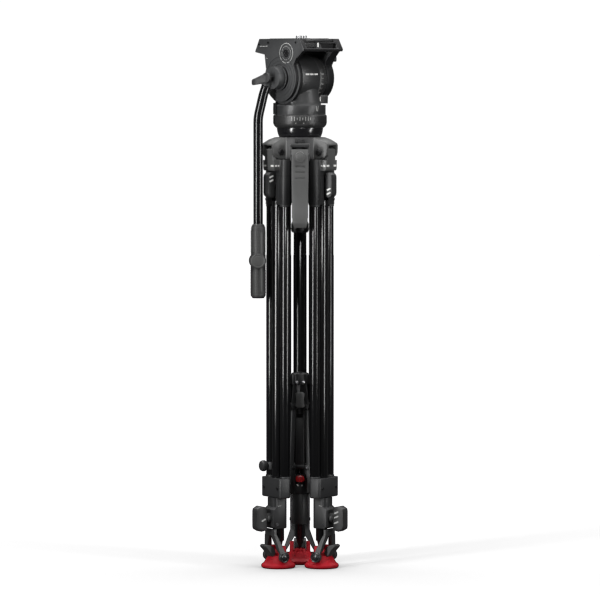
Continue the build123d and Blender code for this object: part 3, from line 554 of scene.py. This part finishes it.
# ------------------------------------------------------------------ legs
for key, phi in LEGS:
    # plain pale label bars round both corners of the shoulder
    bm = bmesh.new()
    for s in (-1, 1):
        m = basis(phi, 52.4, s * 17.8, 650.4) @ Matrix.Rotation(-s * pi / 2, 4, "X")
        for x, w in ((-3.4, 5.6), (2.6, 4.2)):
            bar_on(bm, w, 3.0, m, up=0.15, cx=x, r=0.6)
        bar_on(bm, 9.0, 3.0, outward(phi, 58.3, s * 11.5, 650.4), up=0.15, r=0.6)
    finish_mesh(bm, "shoulder_bars_" + key, "mark", "leg_" + key)
    # parting line and rim of the moulded top
    bm = bmesh.new()
    for z, g in ((634.4, 0.12), (589.4, 0.16)):
        pts = rrect(17.6 + 2 * g, 62.4 + 2 * g, 6.6, 5)
        prism(bm, pts, -0.35, 0.35, basis(phi, R_LEG - 0.5, 0, z))
    finish_mesh(bm, "top_seams_" + key, "dark", "leg_" + key)
    bm = bmesh.new()
    for z0, z1, tt_ in ((600.0, 631.0, 17.5), (600.0, 631.0, -17.5)):
        prism(bm, rrect(3.4, z1 - z0, 1.2), -0.3, 0.7, outward(phi, R_LEG - 0.5 + 8.8, tt_, (z0 + z1) / 2), inset=0.4)
    for s in (-1, 1):
        hexcap(bm, 2.3, 1.0, outward(phi, R_LEG + 8.3, s * 24.5, 596.0))
    finish_mesh(bm, "top_ribs_" + key, "plastic", "leg_" + key, smooth=30)
    # collar rings where the tubes leave the moulded top and enter the band
    bm = bmesh.new()
    for s in (-1, 1):
        for z0, z1, rr_ in ((584.6, 588.2, 8.7), (146.0, 149.0, 8.9)):
            lathe(bm, [(8.02, z0), (rr_ - 0.2, z0), (rr_, z0 + 0.6), (rr_, z1 - 0.6), (rr_ - 0.2, z1), (8.02, z1)], basis(phi, R_LEG, s * 22.5, 0), n=40, closed=True)
    finish_mesh(bm, "tube_collars_" + key, "plastic", "leg_" + key, smooth=30)
    # band: clamp screws
    bm = bmesh.new()
    for s in (-1, 1):
        hexcap(bm, 2.6, 1.1, outward(phi, R_LEG + 14.2, s * 22.0, 130.5))
    finish_mesh(bm, "band_screws_" + key, "dark_steel", "leg_" + key)
    # wing knobs: two slanted pale bars on each half, painted highlights of the knob's ribs; ribs on the rim
    bm = bmesh.new()
    for s in (-1, 1):
        m = basis(phi, 58.0, s * 8.4, 619.5) @ Matrix.Rotation(-s * pi / 2, 4, "X")
        for zc in (7.0, 13.4):
            bar_on(bm, 8.0, 2.6, m, up=0.15, cy=-zc, r=1.0, ang=24)
    finish_mesh(bm, "upper_knob_painted_highlights_" + key, "mark", "upper_knob_" + key)
    bm = bmesh.new()
    for k in range(-7, 8):
        bar_on(bm, 15.0, 0.9, outward(phi, 63.1, 0, 619.5 + 1.7 * k), up=0.35, r=0.3)
    finish_mesh(bm, "upper_knob_ribs_" + key, "knob", "upper_knob_" + key, smooth=30)
    # slanted grey bars on both halves of the lower knob: painted highlights of its ribs
    bm = bmesh.new()
    for s in (-1, 1):
        m = basis(phi, 74.0, s * 7.8, 81.0) @ Matrix.Rotation(-s * pi / 2, 4, "X")
        for zc in (2.0,) if s > 0 else (-6.0, 3.0, 10.0):
            bar_on(bm, 8.6, 2.4, m, up=0.15, cx=-2.0, cy=zc, r=1.0, ang=24)
    finish_mesh(bm, "lower_knob_painted_highlights_" + key, "greymark_and_painted_highlight", "lower_knob_" + key)
    bm = bmesh.new()
    for k in range(-7, 8):
        bar_on(bm, 13.6, 0.9, outward(phi, 83.9, 0, 81.0 + 1.6 * k), up=0.35, r=0.3)
    lathe(bm, [(8.6, -1.0), (8.6, 5.0), (7.6, 6.2), (7.0, 6.2)], outward(phi, 58.2, 0, 81.0), n=48)
    finish_mesh(bm, "lower_knob_ribs_" + key, "knob", "lower_knob_" + key, smooth=30)
    # foot clamp: small slanted index and screws
    bm = bmesh.new()
    for s in (-1, 1):
        m = basis(phi, R_LEG + 6.5, s * 15.75, 101.5) @ Matrix.Rotation(-s * pi / 2, 4, "X")
        bar_on(bm, 6.0, 0.9, m, up=0.12, r=0.3, ang=8 * s)
    finish_mesh(bm, "foot_clamp_index_" + key, "greymark_and_painted_highlight", "middle_" + key)
    bm = bmesh.new()
    for s in (-1, 1):
        hexcap(bm, 2.4, 0.9, basis(phi, R_LEG + 11.0, s * 15.7, 71.5) @ Matrix.Rotation(-s * pi / 2, 4, "X"))
    finish_mesh(bm, "foot_clamp_screws_" + key, "dark_steel", "middle_" + key)
    # strap: ring buttons with a domed centre, flared outer ear
    bm = bmesh.new()
    for s in (-1, 1):
        m = basis(phi, R_LEG + 4.0, s * 28.0, 19.0) @ Matrix.Rotation(-s * pi / 2, 4, "X")
        tube_ring(bm, 7.5, 1.15, m, n=48)
        lathe(bm, [(5.9, -1.0), (5.8, 0.4), (5.0, 1.5), (3.6, 2.3), (1.8, 2.75), (0, 2.9)], m, n=40)
    finish_mesh(bm, "strap_buttons_" + key, "strap_gloss", "foot_" + key, smooth=50)
    bm = bmesh.new()
    m = basis(phi, 0, 0, 0) @ Matrix.Rotation(pi / 2, 4, "X")
    for h0, h1 in ((-9.5, 9.5),):
        prism(bm, [(52.0, 19.5), (57.5, 19.0), (60.5, 24.0), (63.5, 29.0), (69.0, 34.5), (69.5, 37.5), (66.0, 38.6), (58.0, 37.2), (54.0, 34.0), (50.0, 26.0)], h0, h1, m)
    finish_mesh(bm, "strap_outer_ear_" + key, "strap", "foot_" + key, bevel=0.0014, segs=3)
    # red foot: gussets between the cone and the horns, a rim round the base
    bm = bmesh.new()
    for q in (28, 90, 152, 208, 270, 332):
        mq = basis(phi, R_LEG, 0, 0) @ Matrix.Rotation(radians(q), 4, "Z") @ Matrix.Rotation(pi / 2, 4, "X")
        prism(bm, [(12.0, 8.0), (24.6, 6.4), (22.4, 9.6), (16.6, 19.4), (14.8, 24.0), (12.0, 24.0)], -2.6, 2.6, mq)
    finish_mesh(bm, "foot_gussets_" + key, "red", "foot_" + key, bevel=0.0008, segs=3)
    # dark red blocks set in the hollows between the gussets: painted shade in the hollows
    bm = bmesh.new()
    for q in (118, 62, 242, 298):
        mq = basis(phi, R_LEG, 0, 0) @ Matrix.Rotation(radians(q - 90), 4, "Z")
        prism(bm, [(15.6, -2.4), (20.2, -2.0), (20.2, 2.0), (15.6, 2.4)], 9.0, 15.2, mq, inset=0.8)
    finish_mesh(bm, "foot_hollow_painted_shade_" + key, "red_painted_shade", "foot_" + key, bevel=0.0005)
    bm = bmesh.new()
    lathe(bm, [(26.9, 1.6), (27.35, 2.2), (27.35, 4.8), (26.9, 5.4)], basis(phi, R_LEG, 0, 0), n=96, closed=True)
    finish_mesh(bm, "foot_rim_" + key, "red", "foot_" + key)
    # spreader arm: rivet heads
    bm = bmesh.new()
    for s in (-1, 1):
        lathe(bm, [(3.4, -0.5), (3.4, 0.6), (2.6, 1.1), (0, 1.3)], basis(phi, 19.0, s * 11.3, 161.0) @ Matrix.Rotation(-s * pi / 2, 4, "X"), n=24)
    finish_mesh(bm, "spreader_rivets_" + key, "dark_steel", "leg_" + key, smooth=40)

# knob of the transport bracket on the left front leg
bm = bmesh.new()
m = outward(210.0, 49.0, -22.5, 164.0)
lathe(bm, [(3.0, -1.0), (4.4, -0.4), (4.4, 2.0), (6.6, 2.6), (8.0, 3.8), (8.2, 8.6), (7.4, 10.4), (5.6, 11.2), (0, 11.5)], m, n=48)
for k in range(16):
    mk = m @ Matrix.Rotation(2 * pi * k / 16, 4, "Z")
    prism(bm, [(7.8, -0.7), (8.55, -0.5), (8.55, 0.5), (7.8, 0.7)], 4.2, 8.4, mk, inset=0.05)
finish_mesh(bm, "bracket_knob", "knob", "leg_a", smooth=35)
bm = bmesh.new()
mc = basis(210.0, R_LEG, -22.5, 164.0)
lathe(bm, [(8.02, -6.0), (9.9, -6.0), (10.1, -5.4), (10.1, 5.4), (9.9, 6.0), (8.02, 6.0)], mc, n=48, closed=True)
finish_mesh(bm, "bracket_clip", "plastic", "leg_a", smooth=35)

# ------------------------------------------------------------------ hub
bm = bmesh.new()
for key, phi in LEGS:
    hexcap(bm, 2.2, 1.0, basis(phi, 11.0, 0, 314.0))
hexcap(bm, 4.2, 1.6, basis(0, 0, 0, 314.0))
finish_mesh(bm, "hub_screws", "dark_steel", "hub")
bm = bmesh.new()
for z in (254.0, 258.0, 285.0, 289.0):
    lathe(bm, [(6.3, z - 0.7), (6.85, z - 0.4), (6.85, z + 0.4), (6.3, z + 0.7)], Matrix.Identity(4), n=48, closed=True)
finish_mesh(bm, "hub_stem_rings", "plastic", "hub", smooth=30)
# clevis plates that hang from the hub on both sides of each arm's eye
for key, phi in LEGS:
    bm = bmesh.new()
    for s in (-1, 1):
        m = basis(phi, 0, s * 7.45, 0) @ Matrix.Rotation(pi / 2, 4, "X")
        prism(bm, [(4.0, 298.0), (4.0, 262.0), (10.0, 257.0), (18.0, 256.4), (20.4, 260.0), (20.4, 266.0), (18.6, 276.0), (17.2, 298.0)], -0.75, 0.75, m)
        lathe(bm, [(3.2, -0.4), (3.2, 0.7), (2.5, 1.2), (0, 1.4)], basis(phi, 15.0, s * 8.2, 262.0) @ Matrix.Rotation(-s * pi / 2, 4, "X"), n=24)
    finish_mesh(bm, "hub_clevis_" + key, "plastic", "hub", bevel=0.0003)
bm = bmesh.new()
for s in (-1, 1):
    lathe(bm, [(2.9, -1.0), (2.9, 0.8), (2.2, 1.5), (1.0, 1.8), (0, 1.85)], outward(270, 16.2, s * 5.0, 299.5), n=28)
finish_mesh(bm, "hub_front_bolts", "steel", "hub", smooth=50)
bm = bmesh.new()
for k in range(-4, 5):
    bar_on(bm, 11.6 - abs(k) * 0.35, 0.8, outward(270, 23.0, 0, 272.0 + 2.3 * k), up=0.5, r=0.3)
tube_ring(bm, 4.6, 0.5, outward(270, 18.6, 0, 272.0), n=32)
finish_mesh(bm, "hub_knob_ribs", "shoulder", "hub_knob", smooth=35)
# two pale dots on the inner boss of the rear clamp, under the red button
bm = bmesh.new()
for s in (-1, 1):
    lathe(bm, [(1.25, -1.2), (1.25, 0.3), (0.9, 0.5), (0, 0.55)], outward(270, -27.6, s * 3.2, 128.5), n=20)
finish_mesh(bm, "clamp_pale_dots", "mark", "leg_c", smooth=40)
bm = bmesh.new()
for k in range(-2, 3):
    bar_on(bm, 1.0, 7.4, outward(270, -15.5, 2.3 * k, 140.5), up=0.45, r=0.4)
finish_mesh(bm, "red_button_ribs", "red_gloss", "release_button", smooth=30)

# ------------------------------------------------------------------ pan bar grip: rows of small pads, end collars, side boss
G = FW * -21.0 + RW * 71.0


def grip_m(az, r, z):
    a_ = radians(az)
    u, tt = Vector((cos(a_), sin(a_), 0)), Vector((-sin(a_), cos(a_), 0))
    m = Matrix((tt, Vector((0, 0, 1)), u)).transposed().to_4x4()
    m.translation = (G + u * r + Vector((0, 0, z))) * MM
    return m


bm = bmesh.new()
for z0, n_ in ((446.0, 16), (512.5, 15)):
    for row in range(n_):
        for k in range(26):
            az = 360.0 / 26 * k
            if -78 < (az + 180) % 360 - 180 < -48:
                continue
            prism(bm, [(-0.95, -0.72), (0.95, -0.72), (0.95, 0.72), (-0.95, 0.72)], -0.3, 0.42, grip_m(az, 11.7, z0 + 2.35 * row), inset=0.14)
finish_mesh(bm, "grip_pads", "grip", "bar", smooth=25)
bm = bmesh.new()
mg = grip_m(0, 0, 0) @ Matrix.Rotation(-pi / 2, 4, "X")
for z, r_ in ((551.4, 11.3), (549.0, 11.6), (443.5, 11.75), (441.2, 11.5)):
    lathe(bm, [(r_ - 0.8, z - 0.55), (r_ + 0.15, z - 0.4), (r_ + 0.15, z + 0.4), (r_ - 0.8, z + 0.55)], mg, n=56, closed=True)
lathe(bm, [(7.8, 556.6), (9.0, 556.2), (9.2, 555.2), (7.8, 555.0)], mg, n=56, closed=True)
prism(bm, rrect(3.4, 96.0, 1.4), -0.4, 0.35, grip_m(-63, 11.7, 496.0), inset=0.3)
finish_mesh(bm, "grip_collars", "grip", "bar", smooth=30)
bm = bmesh.new()
mb = grip_m(226, 9.0, 498.0)
lathe(bm, [(10.2, -4.0), (10.2, 1.2), (9.8, 2.0), (9.2, 2.0), (8.9, 1.3), (7.4, 1.3), (7.0, 1.9), (5.6, 2.2), (4.0, 1.6), (3.6, 0.8), (0, 0.8)], mb, n=48)
mf = grip_m(270, 13.2, 497.5)
lathe(bm, [(11.2, -0.5), (11.2, 0.4), (10.2, 0.9), (9.2, 0.5), (8.2, 0.5), (7.6, 0.9), (0, 1.2)], mf, n=48)
finish_mesh(bm, "grip_bosses", "grip", "bar", smooth=30)

# ------------------------------------------------------------------ tie-down grip flutes
bm = bmesh.new()
for k in range(18):
    bar_on(bm, 1.5, 70.0, outward(20.0 * k, 12.6, 0, 600.0), up=0.55, r=0.6)
lathe(bm, [(13.9, 546.5), (14.6, 547.2), (14.6, 549.0), (13.9, 549.7)], Matrix.Identity(4), n=56, closed=True)
finish_mesh(bm, "tie_down_flutes", "plastic", "tie_down", smooth=30)

# ------------------------------------------------------------------ floor, light, camera
bm = bmesh.new()
bmesh.ops.create_circle(bm, cap_ends=True, segments=96, radius=12.0)
me = bpy.data.meshes.new("studio_floor")
bm.to_mesh(me)
bm.free()
floor = bpy.data.objects.new("studio_floor", me)
scene.collection.objects.link(floor)
fm, nt, b = new_mat("floor_paper")
fn = noise(nt, 3.0, 3.0)
fr = ramp(nt, fn.outputs["Fac"], [(0.3, (0.90, 0.90, 0.90)), (0.7, (0.92, 0.92, 0.92))])
nt.links.new(fr.outputs["Color"], b.inputs["Base Color"])
b.inputs["Roughness"].default_value = 0.85
b.inputs["Specular IOR Level"].default_value = 0.1
me.materials.append(fm)
floor.is_shadow_catcher = True
floor.visible_glossy = False
floor.visible_diffuse = False

world = bpy.data.worlds.new("studio")
scene.world = world
world.use_nodes = True
wt = world.node_tree
bg = wt.nodes["Background"]
bg.inputs["Color"].default_value = (1, 1, 1, 1)
bg.inputs["Strength"].default_value = 0.06
bg2 = wt.nodes.new("ShaderNodeBackground")
bg2.inputs["Color"].default_value = (1, 1, 1, 1)
bg2.inputs["Strength"].default_value = 1.05
lp = wt.nodes.new("ShaderNodeLightPath")
mx = wt.nodes.new("ShaderNodeMixShader")
wt.links.new(lp.outputs["Is Camera Ray"], mx.inputs["Fac"])
wt.links.new(bg.outputs["Background"], mx.inputs[1])
wt.links.new(bg2.outputs["Background"], mx.inputs[2])
wt.links.new(mx.outputs["Shader"], wt.nodes["World Output"].inputs["Surface"])


def area(name, loc, target, sx, sy, power, color=(1, 1, 1)):
    d = bpy.data.lights.new(name, "AREA")
    d.shape = "RECTANGLE"
    d.size, d.size_y = sx, sy
    d.energy = power
    d.color = color
    o = bpy.data.objects.new(name, d)
    o.location = loc
    o.rotation_euler = (Vector(target) - Vector(loc)).to_track_quat("-Z", "Y").to_euler()
    scene.collection.objects.link(o)
    return o


area("softbox_left", (-1.25, -1.25, 0.93), (0, 0, 0.93), 0.24, 1.82, 37)
area("softbox_right", (1.40, -0.95, 0.93), (0, 0, 0.93), 0.20, 1.82, 20)
area("front_strip", (0.5, -4.2, 2.2), (0, 0, 0.6), 0.9, 0.5, 34)
area("overhead", (0.0, -0.2, 3.4), (0, 0, 0.2), 3.6, 3.0, 150)
area("floor_wash", (0.0, 1.6, 3.0), (0, 1.4, 0.0), 5.0, 3.0, 120)

cam = bpy.data.cameras.new("camera")
cam.lens = 259.8
cam.sensor_width = 36.0
cam.clip_end = 60.0
cam.dof.use_dof = False
co = bpy.data.objects.new("camera", cam)
co.location = (0.0, -7.0, 0.80)
aim = Vector((0.0, 0.0, 0.4325))
co.rotation_euler = (aim - Vector(co.location)).to_track_quat("-Z", "Y").to_euler()
scene.collection.objects.link(co)
scene.camera = co
scene.view_settings.view_transform = "Standard"
scene.view_settings.look = "None"
